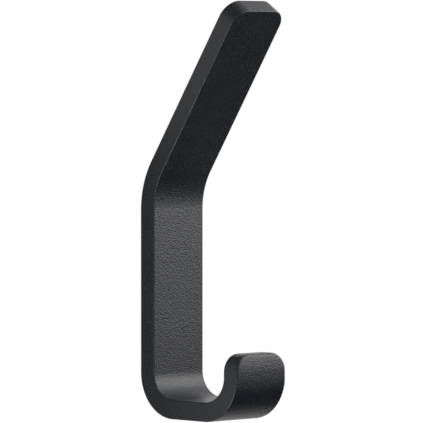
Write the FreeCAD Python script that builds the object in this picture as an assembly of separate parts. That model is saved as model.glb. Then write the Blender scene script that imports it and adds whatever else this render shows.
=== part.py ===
"""Double robe hook: one flat bar bent into a slanted upper prong, a flat shank and a J-shaped lower hook.

Frame: the wall is the plane y = 0 and the hook stands out from it towards -Y. +Z is up and X runs
across the bar. The origin is on the back of the shank, midway between its two fixing holes.
Lengths are in millimetres and angles in degrees.
"""
import FreeCAD, Part
import math
import os

from FreeCAD import Vector

# Flat bar
bar_width = 25.0
bar_thickness = 7.0
edge_radius = 0.5
end_corner_radius = 6.5

# Overall form, with heights counted from the underside of the lower hook
overall_height = 150.0
hook_projection = 49.2
tip_height = 24.7
prong_bend_height = 75.0
prong_lean = 33.7

# Bends, measured on the front of the bar, which is the inside of every bend
prong_bend_radius = 24.5
hook_bend_radius = 9.2

# Tip of the lower hook: a gentle crown takes over from the outside of the bend at an angle below
# straight out, and the edges are eased more than on the rest of the bar.
tip_crown_radius = 28.0
tip_crown_start = 12.0
tip_edge_radius = 1.2

# Two blind tapped holes in the back of the shank
hole_spacing = 40.0
tap_drill_diameter = 4.2
countersink_diameter = 5.6
countersink_angle = 90.0
drill_point_angle = 118.0
metal_over_drill_point = 1.2

# Radii on the wall side of the bar
hook_outer_radius = hook_bend_radius + bar_thickness
prong_outer_radius = prong_bend_radius + bar_thickness

# The crown runs on smoothly from the bend, and its middle stands out to the hook's projection.
crown_sine = math.sin(math.radians(tip_crown_start))
crown_cosine = math.cos(math.radians(tip_crown_start))
crown_growth = tip_crown_radius - hook_outer_radius
front_bend_out = hook_projection - hook_outer_radius - crown_growth * (1 - crown_cosine)
crown_foot_height = hook_outer_radius * (1 - crown_sine)

# Centres of the bends and the crown, as distance off the wall and height
front_bend_centre = (front_bend_out, hook_outer_radius)
crown_centre = (front_bend_out - crown_growth * crown_cosine, hook_outer_radius + crown_growth * crown_sine)
rear_bend_centre = (hook_outer_radius, hook_outer_radius)
prong_bend_centre = (prong_outer_radius, prong_bend_height)
crown_end = math.degrees(math.asin((tip_height - crown_centre[1]) / tip_crown_radius))

# The prong's straight run ends where its rounded wall-side corner touches the overall height.
lean_sine = math.sin(math.radians(prong_lean))
lean_cosine = math.cos(math.radians(prong_lean))
corner_rounding_loss = edge_radius * (lean_sine + lean_cosine - 1)
prong_rise = overall_height + corner_rounding_loss - prong_bend_height - prong_outer_radius * lean_sine
prong_length = prong_rise / lean_cosine

# The holes are centred on the flat back, between the lower bend and the start of the prong's bend.
hole_centre_height = (hook_outer_radius + prong_bend_height) / 2


def side_point(out, up):
    """A point on the bar's left side, from its distance off the wall and its height above the underside."""
    return Vector(-bar_width / 2, -out, up - hole_centre_height)


def straight(start, end):
    """A straight edge of the side view."""
    return Part.makeLine(side_point(*start), side_point(*end))


def bend(centre, radius, start_angle, end_angle):
    """An arc of the side view with its two ends. Angles are counted from straight out, upwards."""
    def on_arc(angle):
        turn = math.radians(angle)
        return (centre[0] + radius * math.cos(turn), centre[1] + radius * math.sin(turn))

    start = on_arc(start_angle)
    middle = on_arc((start_angle + end_angle) / 2)
    end = on_arc(end_angle)
    arc = Part.Arc(side_point(*start), side_point(*middle), side_point(*end))
    return arc.toShape(), start, end


def bar_line(depth, front_bend_start):
    """The line along the bar at a depth below its front, from the foot of the tip to the prong, and its ends."""
    hook_radius = hook_bend_radius + depth
    prong_radius = prong_bend_radius + depth
    front_bend, tip_foot, floor_front = bend(front_bend_centre, hook_radius, front_bend_start, -90)
    rear_bend, floor_rear, shank_foot = bend(rear_bend_centre, hook_radius, -90, -180)
    prong_bend, shank_top, prong_foot = bend(prong_bend_centre, prong_radius, 180, 180 - prong_lean)
    prong_end = (prong_foot[0] + prong_length * lean_sine, prong_foot[1] + prong_length * lean_cosine)
    edges = [
        front_bend,
        straight(floor_front, floor_rear),
        rear_bend,
        straight(shank_foot, shank_top),
        prong_bend,
        straight(prong_foot, prong_end),
    ]
    return edges, tip_foot, prong_end


def square_cut_bar():
    """The bent bar with square ends and sharp edges, drawn out from its side view, and its two end cuts."""
    front_line, tip_foot, front_end = bar_line(0, 0)
    wall_line, _, wall_end = bar_line(bar_thickness, -tip_crown_start)
    front_tip = (tip_foot[0], tip_height)
    crown, wall_tip, _ = bend(crown_centre, tip_crown_radius, crown_end, -tip_crown_start)
    tip_sides = [straight(front_tip, tip_foot), crown]
    end_cuts = [straight(front_tip, wall_tip), straight(front_end, wall_end)]
    outline = Part.Wire(Part.__sortEdges__(front_line + wall_line + tip_sides + end_cuts))
    return Part.Face(outline).extrude(Vector(bar_width, 0, 0)), end_cuts


def end_corner_edges(bar, end_cuts):
    """The four edges through the bar's thickness at the corners of its two ends."""
    def lies_along(edge, cut):
        offset = edge.CenterOfMass - cut.CenterOfMass
        return math.hypot(offset.y, offset.z) < edge_radius

    return [edge for edge in bar.Edges if any(lies_along(edge, cut) for cut in end_cuts)]


def is_sharp(bar, edge):
    """True where two faces of the bar meet at an angle, not in a smooth run."""
    smooth_turn = 5.0
    middle = edge.valueAt((edge.FirstParameter + edge.LastParameter) / 2)
    first, second = bar.ancestorsOfType(edge, Part.Face)
    first_normal = first.normalAt(*first.Surface.parameter(middle))
    second_normal = second.normalAt(*second.Surface.parameter(middle))
    return math.degrees(first_normal.getAngle(second_normal)) > smooth_turn


def radius_at(point):
    """The radius that the bar's edges are eased to at a point: the tip's own radius above the crown's foot."""
    margin = 0.01
    height = point.z + hole_centre_height
    in_tip_height = crown_foot_height + margin < height < tip_height + margin
    return tip_edge_radius if in_tip_height and -point.y > front_bend_out else edge_radius


def eased(bar):
    """The bar with its sharp edges rounded. An edge whose two ends differ grows from one radius to the other."""
    document = FreeCAD.newDocument("double_robe_hook")
    sharp_bar = document.addObject("Part::Feature", "sharp_bar")
    sharp_bar.Shape = bar
    even_edges = []
    for number, edge in enumerate(sharp_bar.Shape.Edges, 1):
        end_radii = {radius_at(vertex.Point) for vertex in edge.Vertexes}
        if len(end_radii) == 1 and is_sharp(sharp_bar.Shape, edge):
            radius = end_radii.pop()
            even_edges.append((number, radius, radius))
    eased_bar = document.addObject("Part::Fillet", "eased_bar")
    eased_bar.Base = sharp_bar
    eased_bar.Edges = even_edges
    document.recompute()
    return eased_bar.Shape


def tapped_hole(height):
    """The space of one blind hole: countersunk mouth, tapping-drill bore and the drill's pointed end."""
    drill_radius = tap_drill_diameter / 2
    mouth_radius = countersink_diameter / 2
    countersink_depth = (mouth_radius - drill_radius) / math.tan(math.radians(countersink_angle / 2))
    point_depth = bar_thickness - metal_over_drill_point
    bore_depth = point_depth - drill_radius / math.tan(math.radians(drill_point_angle / 2))
    half_section = Part.makePolygon([
        Vector(0, 0, height),
        Vector(mouth_radius, 0, height),
        Vector(drill_radius, -countersink_depth, height),
        Vector(drill_radius, -bore_depth, height),
        Vector(0, -point_depth, height),
        Vector(0, 0, height),
    ])
    return Part.Face(half_section).revolve(Vector(0, 0, height), Vector(0, 1, 0), 360)


hook, hook_end_cuts = square_cut_bar()
hook = hook.makeFillet(end_corner_radius, end_corner_edges(hook, hook_end_cuts))
hook = eased(hook)
for hole_height in (-hole_spacing / 2, hole_spacing / 2):
    hook = hook.cut(tapped_hole(hole_height))

os.makedirs("parts", exist_ok=True)
hook.exportStep("parts/hook.step")
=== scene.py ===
import math

import bmesh
import bpy
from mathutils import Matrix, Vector
from mathutils.kdtree import KDTree


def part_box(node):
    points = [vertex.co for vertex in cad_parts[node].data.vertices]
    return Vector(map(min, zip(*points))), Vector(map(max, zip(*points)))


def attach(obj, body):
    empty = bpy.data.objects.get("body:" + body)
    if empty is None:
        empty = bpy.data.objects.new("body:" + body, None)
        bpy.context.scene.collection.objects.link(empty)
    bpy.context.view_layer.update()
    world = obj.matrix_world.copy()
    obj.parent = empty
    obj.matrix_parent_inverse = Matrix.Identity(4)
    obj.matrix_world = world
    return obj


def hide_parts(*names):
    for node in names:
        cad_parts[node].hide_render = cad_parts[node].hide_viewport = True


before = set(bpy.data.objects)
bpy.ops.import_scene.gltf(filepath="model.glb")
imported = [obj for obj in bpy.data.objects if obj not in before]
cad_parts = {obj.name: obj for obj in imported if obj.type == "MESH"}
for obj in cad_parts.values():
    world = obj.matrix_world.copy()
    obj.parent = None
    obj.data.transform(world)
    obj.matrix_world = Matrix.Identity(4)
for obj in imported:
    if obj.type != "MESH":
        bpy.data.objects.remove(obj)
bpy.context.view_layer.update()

# The bar
# The whole hook is one flat steel bar, cut to length with round corners and bent three times: twice at
# the foot into a J, and once above the middle, where the upper prong leans out to the front. Its edges are
# eased, more so at the crowned tip of the J, and all of it but the threads in its back is powder coated.
MM = 0.001
bar_low, bar_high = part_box("hook")
bar_width = bar_high.x - bar_low.x
bar_thickness = 7.0 * MM
edge_radius = 0.5 * MM
end_corner_radius = 6.5 * MM
hook_projection = 49.2 * MM
tip_height = 24.7 * MM
prong_bend_height = 75.0 * MM
prong_lean = math.radians(33.7)
prong_bend_radius = 24.5 * MM
hook_bend_radius = 9.2 * MM
tip_crown_radius = 28.0 * MM
tip_crown_start = math.radians(12.0)
tip_edge_radius = 1.2 * MM

# How finely the bar is divided, and how exactly its points and faces are told apart
right_angle = math.radians(90)
steps_per_right_angle = 32
corner_segments = 12
edge_segments = 6
crease_angle = math.radians(35.0)
weld_distance = 0.001 * MM
square_on = 0.999

# Places along the bar
underside = bar_low.z
tip_top = underside + tip_height
hook_outer_radius = hook_bend_radius + bar_thickness
prong_outer_radius = prong_bend_radius + bar_thickness
crown_growth = tip_crown_radius - hook_outer_radius
front_bend_out = hook_projection - hook_outer_radius - crown_growth * (1 - math.cos(tip_crown_start))
front_bend_centre = Vector((0, -front_bend_out, underside + hook_outer_radius))
crown_direction = Vector((0, math.cos(tip_crown_start), math.sin(tip_crown_start)))
crown_centre = front_bend_centre + crown_growth * crown_direction
crown_foot = front_bend_centre.z - hook_outer_radius * math.sin(tip_crown_start)
rear_bend_centre = Vector((0, -hook_outer_radius, underside + hook_outer_radius))
prong_bend_centre = Vector((0, -prong_outer_radius, underside + prong_bend_height))
prong_direction = Vector((0, -math.sin(prong_lean), math.cos(prong_lean)))
rounded_away = edge_radius * (math.sin(prong_lean) + math.cos(prong_lean) - 1)
prong_foot_height = prong_bend_centre.z + prong_outer_radius * math.sin(prong_lean)
prong_length = (bar_high.z + rounded_away - prong_foot_height) / math.cos(prong_lean)


def only(kind, geometry):
    """The verts, edges or faces among what an operator gives back."""
    return [item for item in geometry if isinstance(item, kind)]


def unit_square(bm):
    """A square with sides of 1, flat at the origin. Gives back its corners."""
    return bmesh.ops.create_grid(bm, x_segments=1, y_segments=1, size=0.5)["verts"]


def draw_out(bm, section, step):
    """Draws the bar's end section out along a straight step, and gives back the new end."""
    whole_section = [section, *section.edges, *section.verts]
    made = bmesh.ops.extrude_face_region(bm, geom=whole_section)["geom"]
    bmesh.ops.translate(bm, verts=only(bmesh.types.BMVert, made), vec=step)
    return only(bmesh.types.BMFace, made)[0]


def bend_up(bm, section, centre, angle):
    """Swings the bar's end section round a bend's centre, and gives back the new end."""
    whole_section = [section, *section.edges, *section.verts]
    steps = round(steps_per_right_angle * angle / right_angle)
    made = bmesh.ops.spin(bm, geom=whole_section, cent=centre, axis=(1, 0, 0), angle=angle, steps=steps)
    return only(bmesh.types.BMFace, made["geom_last"])[0]


def round_edges(bm, edges, radius, segments):
    """Rounds edges to a radius."""
    bmesh.ops.bevel(bm, geom=edges, offset=radius, offset_type="OFFSET", affect="EDGES",
                    segments=segments, profile=0.5, material=-1, clamp_overlap=False)


def is_outside_tip(point):
    """True for a point on the outer side of the J's front bend and tip."""
    reach = math.hypot(point.y - front_bend_centre.y, min(point.z - front_bend_centre.z, 0))
    past_middle = reach > hook_bend_radius + bar_thickness / 2
    return past_middle and point.y < front_bend_centre.y and point.z < tip_top + weld_distance


def cut_bands(bm):
    """Cuts the outer face of the tip into level bands, which the crown then bends to its curve.

    There is a cut at each point of the rounded corners, but for those that lie in the top edge's rounding.
    """
    levels_in_rounding = 3

    def outer_faces():
        return [face for face in bm.faces
                if face.normal.y < -square_on and is_outside_tip(face.calc_center_median())]

    widest = max(outer_faces(), key=lambda face: face.calc_area())
    levels = sorted({round(vert.co.z / weld_distance) for vert in widest.verts})
    for level in levels[1:-levels_in_rounding]:
        around = dict.fromkeys(item for face in outer_faces() for item in (face, *face.edges, *face.verts))
        bmesh.ops.bisect_plane(bm, geom=list(around), plane_co=(0, 0, level * weld_distance),
                               plane_no=(0, 0, 1), dist=2 * weld_distance)


def crown_tip(bm):
    """Swells the outer face of the tip into a shallow crown that runs on from the bend."""
    for vert in bm.verts:
        if is_outside_tip(vert.co) and vert.co.z > crown_foot:
            below_centre = min(vert.co.z - front_bend_centre.z, 0)
            plain_y = front_bend_centre.y - math.sqrt(hook_outer_radius ** 2 - below_centre ** 2)
            crown_y = crown_centre.y - math.sqrt(tip_crown_radius ** 2 - (vert.co.z - crown_centre.z) ** 2)
            vert.co.y += crown_y - plain_y


def tip_softness(corner):
    """How many times wider an edge is eased at a point than on the rest of the bar: it grows up the tip."""
    if is_outside_tip(corner):
        foot, head = crown_foot, tip_top - end_corner_radius
    else:
        foot, head = underside + bar_thickness, front_bend_centre.z
    share = min(max((corner.z - foot) / (head - foot), 0), 1)
    return 1 + (tip_edge_radius / edge_radius - 1) * share * share * (3 - 2 * share)


def ease_edges(bm):
    """Rounds every sharp edge of the bar, and widens the tip's rounding about its corners."""
    rounding_reach = 1.2 * edge_radius
    sharp = [edge for edge in bm.edges if edge.calc_face_angle() > crease_angle]
    sharp_verts = {vert for edge in sharp for vert in edge.verts}
    tip_corners = [vert.co.copy() for vert in bm.verts if vert in sharp_verts
                   and vert.co.y < front_bend_centre.y and vert.co.z < tip_top + weld_distance]
    round_edges(bm, sharp, edge_radius, edge_segments)
    tree = KDTree(len(tip_corners))
    for index, corner in enumerate(tip_corners):
        tree.insert(corner, index)
    tree.balance()
    for vert in bm.verts:
        corner, _, distance = tree.find(vert.co)
        if distance < rounding_reach:
            vert.co = corner + (vert.co - corner) * tip_softness(corner)


def bent_bar(bm):
    """Sweeps the bar's section from the tip of the J to the end of the prong, then rounds and crowns it."""
    tip_centre = front_bend_centre - Vector((0, hook_bend_radius + bar_thickness / 2, 0))
    tip_centre.z = tip_top
    section_corners = unit_square(bm)
    bmesh.ops.scale(bm, verts=section_corners, vec=(bar_width, bar_thickness, 1))
    bmesh.ops.translate(bm, verts=section_corners, vec=tip_centre)
    tip_end = bm.faces[:][0]

    section = draw_out(bm, tip_end, Vector((0, 0, front_bend_centre.z - tip_top)))
    section = bend_up(bm, section, front_bend_centre, right_angle)
    section = draw_out(bm, section, rear_bend_centre - front_bend_centre)
    section = bend_up(bm, section, rear_bend_centre, right_angle)
    section = draw_out(bm, section, Vector((0, 0, prong_bend_centre.z - rear_bend_centre.z)))
    section = bend_up(bm, section, prong_bend_centre, prong_lean)
    prong_end = draw_out(bm, section, prong_direction * prong_length)
    bmesh.ops.recalc_face_normals(bm, faces=bm.faces)

    end_corners = [edge for edge in [*tip_end.edges, *prong_end.edges]
                   if abs(edge.verts[0].co.x - edge.verts[1].co.x) < edge_radius]
    round_edges(bm, end_corners, end_corner_radius, corner_segments)
    cut_bands(bm)
    ease_edges(bm)
    crown_tip(bm)


# Tapped holes
# Two blind holes in the back of the shank, by which the hook is fixed from behind. Each is drilled,
# countersunk and tapped for M5, and its thread of bare steel runs out above the drill's pointed end.
hole_spacing = 40.0 * MM
tap_drill_radius = 2.1 * MM
thread_root_radius = 2.5 * MM
thread_pitch = 0.8 * MM
thread_root_flat = 0.1 * MM
thread_run_out = 0.7 * MM
thread_half_angle = math.radians(30.0)
countersink_radius = 2.8 * MM
countersink_half_angle = math.radians(45.0)
drill_point_half_angle = math.radians(59.0)
metal_over_drill_point = 1.2 * MM
full_turn = math.radians(360)
steps_per_turn = 32
spare_turns = 2

point_depth = bar_thickness - metal_over_drill_point
bore_depth = point_depth - tap_drill_radius / math.tan(drill_point_half_angle)


def thread_profile():
    """One pitch of the thread as pairs of radius and advance along the hole."""
    flank = (thread_root_radius - tap_drill_radius) * math.tan(thread_half_angle)
    crest_flat = thread_pitch - thread_root_flat - 2 * flank
    return [
        (tap_drill_radius, 0.0),
        (tap_drill_radius, crest_flat),
        (thread_root_radius, crest_flat + flank),
        (thread_root_radius, crest_flat + flank + thread_root_flat),
        (tap_drill_radius, thread_pitch),
    ]


def hole_radius(radius, depth):
    """The thread's radius at a depth, run out towards the drill's point and opened by the countersink."""
    run_out_slope = (thread_root_radius - tap_drill_radius) / thread_run_out
    threaded = min(radius, tap_drill_radius + run_out_slope * (bore_depth - depth))
    return max(threaded, countersink_radius - depth * math.tan(countersink_half_angle))


def tapped_hole():
    """The inside of one hole, drilled along Y from the origin and open at the bar's back.

    The thread is spun past both ends of the bore and cut off there.
    """
    bm = bmesh.new()
    verts = [bm.verts.new((radius, thread_pitch - advance, 0)) for radius, advance in thread_profile()]
    edges = [bm.edges.new(pair) for pair in zip(verts, verts[1:])]
    bmesh.ops.subdivide_edges(bm, edges=edges, cuts=1)
    turns = math.ceil(bore_depth / thread_pitch) + spare_turns
    bmesh.ops.spin(bm, geom=bm.verts[:] + bm.edges[:], cent=(0, 0, 0), axis=(0, 1, 0),
                   dvec=(0, -thread_pitch / steps_per_turn, 0),
                   angle=turns * full_turn, steps=turns * steps_per_turn)
    bmesh.ops.remove_doubles(bm, verts=bm.verts, dist=weld_distance)
    for depth, outwards in ((0.0, 1), (bore_depth, -1)):
        bmesh.ops.bisect_plane(bm, geom=bm.verts[:] + bm.edges[:] + bm.faces[:], clear_outer=True,
                               plane_co=(0, -depth, 0), plane_no=(0, outwards, 0), dist=weld_distance)
    for vert in bm.verts:
        radius = math.hypot(vert.co.x, vert.co.z)
        growth = hole_radius(radius, -vert.co.y) / radius
        vert.co.x *= growth
        vert.co.z *= growth
    floor_rim = [edge for edge in bm.edges if edge.is_boundary and edge.verts[0].co.y < -bore_depth / 2]
    point_walls = bmesh.ops.extrude_edge_only(bm, edges=floor_rim)["geom"]
    bmesh.ops.pointmerge(bm, verts=only(bmesh.types.BMVert, point_walls), merge_co=(0, -point_depth, 0))
    for face in bm.faces:
        face.material_index = 1
    return bm


# The bar's flat back is filled again round the mouths of the two holes.
bar_mesh = bmesh.new()
bent_bar(bar_mesh)
back_faces = [face for face in bar_mesh.faces if face.normal.y > square_on]
flat_back = max(back_faces, key=lambda face: face.calc_area())
bmesh.ops.delete(bar_mesh, geom=[flat_back], context="FACES_ONLY")
for hole_height in (-hole_spacing / 2, hole_spacing / 2):
    hole = tapped_hole()
    bmesh.ops.translate(hole, verts=hole.verts, vec=(0, 0, hole_height))
    hole_mesh = bpy.data.meshes.new("tapped_hole")
    hole.to_mesh(hole_mesh)
    hole.free()
    bar_mesh.from_mesh(hole_mesh)
    bpy.data.meshes.remove(hole_mesh)
open_edges = [edge for edge in bar_mesh.edges if edge.is_boundary]
bmesh.ops.triangle_fill(bar_mesh, edges=open_edges, use_beauty=True, normal=(0, 1, 0))
bmesh.ops.recalc_face_normals(bar_mesh, faces=bar_mesh.faces)
for face in bar_mesh.faces:
    face.smooth = True
for edge in bar_mesh.edges:
    edge.smooth = edge.calc_face_angle(0) < crease_angle

mesh = bpy.data.meshes.new("bent_bar")
bar_mesh.to_mesh(mesh)
bar_mesh.free()
bar = bpy.data.objects.new("bent_bar", mesh)
bpy.context.scene.collection.objects.link(bar)
true_flats = bar.modifiers.new("true_flats", "WEIGHTED_NORMAL")
true_flats.keep_sharp = True

# The coat and the bare thread
# The coat is black with a cool cast and a satin sheen, a little uneven in patches, and its fine grain
# stands up as a low relief. The thread is kept clear of it, and shows the steel with the tap's marks.
coat_dark = (0.0070, 0.0083, 0.0116)
coat_light = (0.0088, 0.0102, 0.0138)
coat_sleek = 0.41
coat_dull = 0.45
coat_reflection = 0.42
coat_patch_size = 12.0 * MM
coat_grain_size = 0.55 * MM
coat_grain_height = 0.15 * MM
steel_dark = (0.30, 0.29, 0.28)
steel_light = (0.42, 0.41, 0.40)
steel_sleek = 0.28
steel_dull = 0.42
tap_mark_size = 0.3 * MM
pattern_low = 0.3
pattern_high = 0.7


def new_material(name):
    """A material, its main shader, and a noise texture maker that reads Object coordinates."""
    material = bpy.data.materials.new(name)
    material.use_nodes = True
    nodes = material.node_tree.nodes
    place = nodes.new("ShaderNodeTexCoord")

    def noise(size, detail):
        texture = nodes.new("ShaderNodeTexNoise")
        texture.inputs["Scale"].default_value = 1 / size
        texture.inputs["Detail"].default_value = detail
        material.node_tree.links.new(place.outputs["Object"], texture.inputs["Vector"])
        return texture.outputs["Fac"]

    return material, nodes["Principled BSDF"], noise


def vary_roughness(material, shader, pattern, sleek, dull):
    """Lets a pattern move the roughness between two values."""
    spread = material.node_tree.nodes.new("ShaderNodeMapRange")
    spread.inputs["From Min"].default_value = pattern_low
    spread.inputs["From Max"].default_value = pattern_high
    spread.inputs["To Min"].default_value = sleek
    spread.inputs["To Max"].default_value = dull
    material.node_tree.links.new(pattern, spread.inputs["Value"])
    material.node_tree.links.new(spread.outputs["Result"], shader.inputs["Roughness"])


def vary_colour(material, shader, pattern, dark, light):
    """Lets a pattern move the colour between two values."""
    ramp = material.node_tree.nodes.new("ShaderNodeValToRGB")
    ramp.color_ramp.elements[0].position = pattern_low
    ramp.color_ramp.elements[0].color = (*dark, 1)
    ramp.color_ramp.elements[1].position = pattern_high
    ramp.color_ramp.elements[1].color = (*light, 1)
    material.node_tree.links.new(pattern, ramp.inputs["Fac"])
    material.node_tree.links.new(ramp.outputs["Color"], shader.inputs["Base Color"])


def raise_relief(material, shader, pattern, height):
    """Lets a pattern stand up from the surface by a height."""
    relief = material.node_tree.nodes.new("ShaderNodeBump")
    relief.inputs["Distance"].default_value = height
    material.node_tree.links.new(pattern, relief.inputs["Height"])
    material.node_tree.links.new(relief.outputs["Normal"], shader.inputs["Normal"])


coat, shader, noise = new_material("black_powder_coat")
shader.inputs["Specular IOR Level"].default_value = coat_reflection
patches = noise(coat_patch_size, detail=2.0)
vary_colour(coat, shader, patches, coat_dark, coat_light)
vary_roughness(coat, shader, patches, coat_sleek, coat_dull)
raise_relief(coat, shader, noise(coat_grain_size, detail=1.0), coat_grain_height)

thread_steel, shader, noise = new_material("bare_thread_steel")
shader.inputs["Metallic"].default_value = 1.0
tap_marks = noise(tap_mark_size, detail=3.0)
vary_colour(thread_steel, shader, tap_marks, steel_dark, steel_light)
vary_roughness(thread_steel, shader, tap_marks, steel_sleek, steel_dull)
mesh.materials.append(coat)
mesh.materials.append(thread_steel)

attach(bar, "root")
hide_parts("hook")

# The floor
# A plain pale floor, well below the hook, which hangs high when it is in use. The camera and the hook's
# shine see the floor nearly as white as the room, and it still takes the hook's shadow.
floor_drop = 1.0
floor_size = 8.0
floor_grey = 0.8


def seen_directly(tree):
    """A node that is 1 for the rays that show a background and 0 for those that only light the hook."""
    ray_kind = tree.nodes.new("ShaderNodeLightPath")
    seen = ray_kind.outputs["Is Camera Ray"]
    for kind in ("Is Glossy Ray", "Is Transmission Ray"):
        either = tree.nodes.new("ShaderNodeMath")
        either.operation = "MAXIMUM"
        tree.links.new(seen, either.inputs[0])
        tree.links.new(ray_kind.outputs[kind], either.inputs[1])
        seen = either.outputs["Value"]
    return seen


def glow(tree, strength, seen, lighting):
    """Sets a shader's strength to one level where it is seen and another where it lights the hook."""
    levels = tree.nodes.new("ShaderNodeMapRange")
    levels.inputs["To Min"].default_value = lighting
    levels.inputs["To Max"].default_value = seen
    tree.links.new(seen_directly(tree), levels.inputs["Value"])
    tree.links.new(levels.outputs["Result"], strength)


def card(name, width, length, grey):
    """A flat rectangle of the stage, facing up at the origin, in a plain grey, and its material's nodes."""
    card_mesh = bpy.data.meshes.new(name)
    bm = bmesh.new()
    bmesh.ops.scale(bm, verts=unit_square(bm), vec=(width, length, 1))
    bm.to_mesh(card_mesh)
    bm.free()
    holder = bpy.data.objects.new(name, card_mesh)
    bpy.context.scene.collection.objects.link(holder)
    material = bpy.data.materials.new(name)
    material.use_nodes = True
    shader = material.node_tree.nodes["Principled BSDF"]
    shader.inputs["Base Color"].default_value = (grey, grey, grey, 1)
    card_mesh.materials.append(material)
    return holder, material.node_tree


floor, floor_nodes = card("pale_floor", floor_size, floor_size, floor_grey)
floor.location.z = underside - floor_drop
floor_shader = floor_nodes.nodes["Principled BSDF"]
floor_shader.inputs["Emission Color"].default_value = (1, 1, 1, 1)
glow(floor_nodes, floor_shader.inputs["Emission Strength"], seen=0.9, lighting=0.0)

# The light
# A white room with three soft boxes: the main one in front of the hook, to its right, a low one on its left
# for the edges, and a faint one behind it, to its right, for the upper rims. Four cards shade the hook and
# show in its shine, as a studio's unlit sides do: round the camera, under the hook, over it and beside it.
hook_middle = Vector((0, -0.02, 0.03))

room = bpy.data.worlds.new("white_room")
bpy.context.scene.world = room
room.use_nodes = True
room_shine = room.node_tree.nodes["Background"]
room_shine.inputs["Color"].default_value = (1, 1, 1, 1)
glow(room.node_tree, room_shine.inputs["Strength"], seen=1.0, lighting=0.02)


def face_hook(holder, azimuth, elevation, distance):
    """Stands a lamp or card off the hook at a bearing in degrees, facing it, out of the camera's sight."""
    across = math.cos(math.radians(elevation))
    towards = Vector((math.cos(math.radians(azimuth)) * across, math.sin(math.radians(azimuth)) * across,
                      math.sin(math.radians(elevation))))
    holder.location = hook_middle + towards * distance
    holder.rotation_euler = towards.to_track_quat("Z", "Y").to_euler()
    holder.visible_camera = False


def soft_box(name, width, height, level, azimuth, elevation, distance):
    """A rectangular lamp that faces the hook from a bearing. A level of 1 is as bright as the room."""
    lamp = bpy.data.lights.new(name, "AREA")
    lamp.shape = "RECTANGLE"
    lamp.size = width
    lamp.size_y = height
    lamp.energy = level * math.pi * width * height
    holder = bpy.data.objects.new(name, lamp)
    bpy.context.scene.collection.objects.link(holder)
    face_hook(holder, azimuth, elevation, distance)


def shade_card(name, width, length, grey):
    """A card without shine that the camera doesn't see, flat at the origin."""
    holder, tree = card(name, width, length, grey)
    holder.visible_camera = False
    tree.nodes["Principled BSDF"].inputs["Specular IOR Level"].default_value = 0.0
    return holder


soft_box("key_box", width=0.4, height=0.38, level=5.3, azimuth=-40, elevation=22.2, distance=0.5)
soft_box("edge_box", width=0.3, height=0.22, level=9.0, azimuth=-167, elevation=-41, distance=0.6)
soft_box("rim_box", width=0.4, height=0.36, level=0.55, azimuth=27, elevation=19, distance=0.6)

camera_card = shade_card("camera_card", width=0.9, length=0.5, grey=0.02)
face_hook(camera_card, azimuth=-135, elevation=8, distance=0.9)
under_card = shade_card("under_card", width=1.22, length=1.4, grey=0.06)
under_card.location = (0.49, -0.67, underside - 0.2)
over_card = shade_card("over_card", width=0.66, length=0.7, grey=0.9)
over_card.location = (-0.27, 0.15, 0.5)
side_card = shade_card("side_card", width=0.16, length=0.061, grey=0.48)
side_card.location = (-0.045, 0.0395, -0.02)
side_card.rotation_euler.y = right_angle

# The camera
# It looks from the photograph's angle: in front of the hook, to its left and a little above its middle, far
# off with a long lens. Its place and lens come from fitting the hook's outline to the photograph's pixels.
view_azimuth = math.radians(-44.85)
view_elevation = math.radians(1.91)
camera_distance = 1.573
frame_centre = Vector((11.57, -12.24, 28.45)) * MM
focal_pixels = 4333.0
image_pixels = 423.0
camera_data = bpy.data.cameras.new("camera")
camera_data.sensor_width = 36.0
camera_data.lens = camera_data.sensor_width * focal_pixels / image_pixels
camera = bpy.data.objects.new("camera", camera_data)
bpy.context.scene.collection.objects.link(camera)
towards_camera = Vector((math.sin(view_azimuth) * math.cos(view_elevation),
                         -math.cos(view_azimuth) * math.cos(view_elevation),
                         math.sin(view_elevation)))
camera.location = frame_centre + towards_camera * camera_distance
camera.rotation_euler = (-towards_camera).to_track_quat("-Z", "Y").to_euler()
bpy.context.scene.camera = camera

bpy.context.scene.view_settings.view_transform = "Standard"

bpy.context.view_layer.update()
